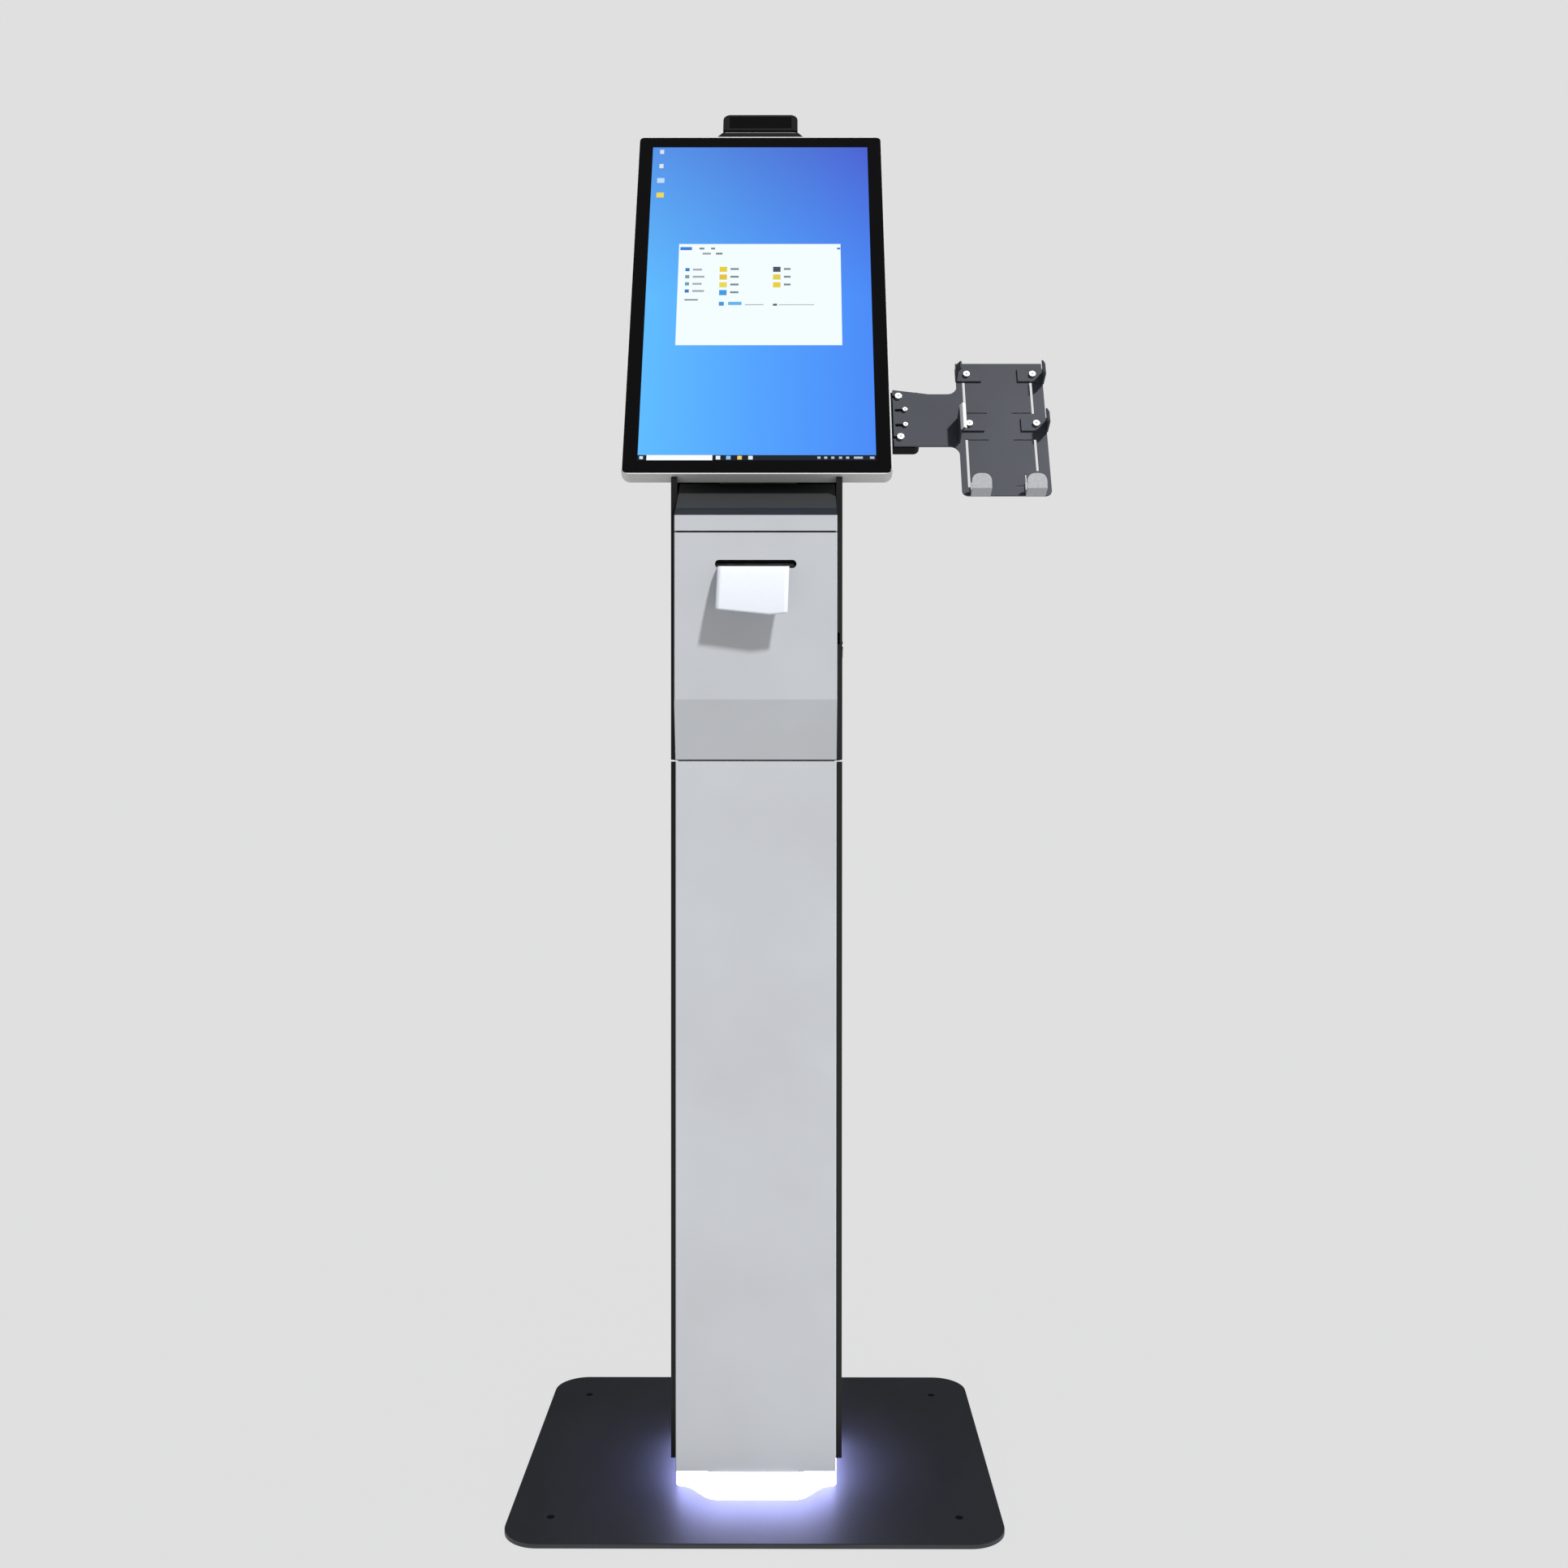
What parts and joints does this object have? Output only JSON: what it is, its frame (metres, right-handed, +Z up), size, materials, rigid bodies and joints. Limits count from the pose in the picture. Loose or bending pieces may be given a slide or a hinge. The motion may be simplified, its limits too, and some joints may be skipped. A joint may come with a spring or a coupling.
{
  "type": "ticket vending machine",
  "caption": "Free-standing self-service ticket kiosk: tilted touch screen and camera on a slim column with a door-mounted ticket printer, lit foot, floor plate and card-terminal cradle.",
  "frame": {"origin": "centre of the floor plate's underside", "axes": "+Z up, -Y towards the customer, +X to the customer's right"},
  "size_m": [0.596, 0.434, 1.6406],
  "materials": {
    "charcoal_powder": "fine textured powder coat",
    "opal_acrylic": "opal acrylic, lit from inside",
    "circuit_board": "solder-masked board",
    "white_enamel": "satin white-silver paint",
    "black_enamel": "satin black paint",
    "dark_enamel": "satin dark grey paint",
    "slate_enamel": "satin slate-grey paint",
    "zinc_steel": "zinc-plated steel",
    "black_steel": "black oxide",
    "chrome_lock": "polished",
    "black_plastic": "fine moulded grain",
    "white_nylon": "moulded nylon",
    "silver_plastic": "satin silver paint on plastic",
    "black_glass": "toughened glass printed black at the back",
    "lens_glass": "coated lens",
    "aluminium": "extruded",
    "black_rubber": "ground rubber",
    "white_rubber": "soft pad",
    "bright_screw": "bright nickel plate",
    "bright_hook": "light grey plastic-dipped steel",
    "thermal_paper": "coated thermal paper"
  },
  "bodies": {
    "frame": {"base_plate": "charcoal_powder", "led_diffuser": "opal_acrylic", "led_strips": "circuit_board", "lower_front_cover": "white_enamel", "lower_rear_shell": "black_enamel", "upper_rear_shell": "black_enamel", "column_spine": "zinc_steel", "spine_bolts": "zinc_steel", "shell_ribs": "zinc_steel", "neck_cover": "white_enamel", "neck_panel": "dark_enamel", "hinge_fixed_leaf": "black_steel", "hinge_pin": "zinc_steel", "lock_body": "chrome_lock", "screen_shell": "silver_plastic", "touch_glass": "black_glass", "lcd_panel": "aluminium", "screen_frame": "zinc_steel", "main_board": "circuit_board", "fan_frame": "black_plastic", "mount_plate": "black_steel", "mount_screws": "zinc_steel", "camera_saddle": "black_plastic", "camera_foot": "silver_plastic", "camera_housing": "black_plastic", "camera_window": "black_glass", "camera_lens": "lens_glass", "arm_block": "black_plastic", "arm_screws": "bright_screw", "power_supply": "zinc_steel", "power_inlet": "black_plastic"},
    "door": {"printer_door": "white_enamel", "hinge_moving_leaf": "black_steel", "slot_mouth": "black_plastic", "printer_chassis": "black_plastic", "print_head": "aluminium", "feed_motor": "zinc_steel", "roll_tray": "black_plastic", "roll_spindle": "white_nylon", "ticket": "thermal_paper"},
    "lock": {"lock_cam": "chrome_lock"},
    "cutter": {"cutter_blade": "zinc_steel"},
    "platen": {"platen_roller": "black_rubber"},
    "pinion": {"motor_pinion": "white_nylon"},
    "lid": {"printer_lid": "black_plastic"},
    "roll": {"paper_roll": "thermal_paper"},
    "fan": {"fan_rotor": "black_plastic"},
    "rocker": {"rocker_switch": "black_plastic"},
    "cradle": {"cradle_plate": "slate_enamel", "cradle_hooks": "bright_hook", "hook_rivets": "bright_screw"},
    "jaw_upper_left": {"jaw_upper_left": "slate_enamel", "jaw_screw_upper_left": "bright_screw"},
    "jaw_upper_right": {"jaw_upper_right": "slate_enamel", "jaw_screw_upper_right": "bright_screw"},
    "jaw_middle_left": {"jaw_middle_left": "slate_enamel", "jaw_screw_middle_left": "bright_screw", "jaw_pad": "white_rubber"},
    "jaw_middle_right": {"jaw_middle_right": "slate_enamel", "jaw_screw_middle_right": "bright_screw"}
  },
  "joints": [
    {"name": "door_swing", "type": "hinge", "parent": "frame", "child": "door", "pos_m": [-0.0898, -0.0905, 0.945], "axis": [0, 0, -1], "range_deg": [0, 100]},
    {"name": "lock_turn", "type": "hinge", "parent": "frame", "child": "lock", "pos_m": [0.093, -0.072, 0.945], "axis": [-1, 0, 0], "range_deg": [0, 90]},
    {"name": "platen_spin", "type": "hinge", "parent": "door", "child": "platen", "pos_m": [-0.00245, -0.112, 1.021], "axis": [1, 0, 0], "continuous": true},
    {"name": "pinion_spin", "type": "hinge", "parent": "door", "child": "pinion", "pos_m": [-0.00245, -0.112, 1.0058], "axis": [1, 0, 0], "continuous": true},
    {"name": "roll_spin", "type": "hinge", "parent": "door", "child": "roll", "pos_m": [-0.00245, -0.1, 0.925], "axis": [1, 0, 0], "continuous": true},
    {"name": "cutter_slide", "type": "slide", "parent": "door", "child": "cutter", "axis": [0, 0, -1], "range_m": [0, 0.005]},
    {"name": "lid_swing", "type": "hinge", "parent": "door", "child": "lid", "pos_m": [-0.00245, -0.069, 0.98], "axis": [-1, 0, 0], "range_deg": [0, 60]},
    {"name": "fan_spin", "type": "hinge", "parent": "frame", "child": "fan", "pos_m": [0, 0.09904, 1.46245], "axis": [0, 0.907, -0.421], "continuous": true},
    {"name": "rocker_tilt", "type": "hinge", "parent": "frame", "child": "rocker", "pos_m": [0.062, 0.032, 0.097], "axis": [1, 0, 0], "range_deg": [0, 15]},
    {"name": "cradle_slide", "type": "slide", "parent": "frame", "child": "cradle", "axis": [1, 0, 0], "range_m": [0, 0.006]},
    {"name": "jaw_upper_left_slide", "type": "slide", "parent": "cradle", "child": "jaw_upper_left", "axis": [1, 0, 0], "range_m": [0, 0.01]},
    {"name": "jaw_upper_right_slide", "type": "slide", "parent": "cradle", "child": "jaw_upper_right", "axis": [-1, 0, 0], "range_m": [0, 0.01]},
    {"name": "jaw_middle_left_slide", "type": "slide", "parent": "cradle", "child": "jaw_middle_left", "axis": [1, 0, 0], "range_m": [0, 0.01]},
    {"name": "jaw_middle_right_slide", "type": "slide", "parent": "cradle", "child": "jaw_middle_right", "axis": [-1, 0, 0], "range_m": [0, 0.01]}
  ],
  "couplings": [
    {"joint": "pinion_spin", "follows": "platen_spin", "ratio": -2},
    {"joint": "roll_spin", "follows": "platen_spin", "ratio": 0.17647}
  ]
}
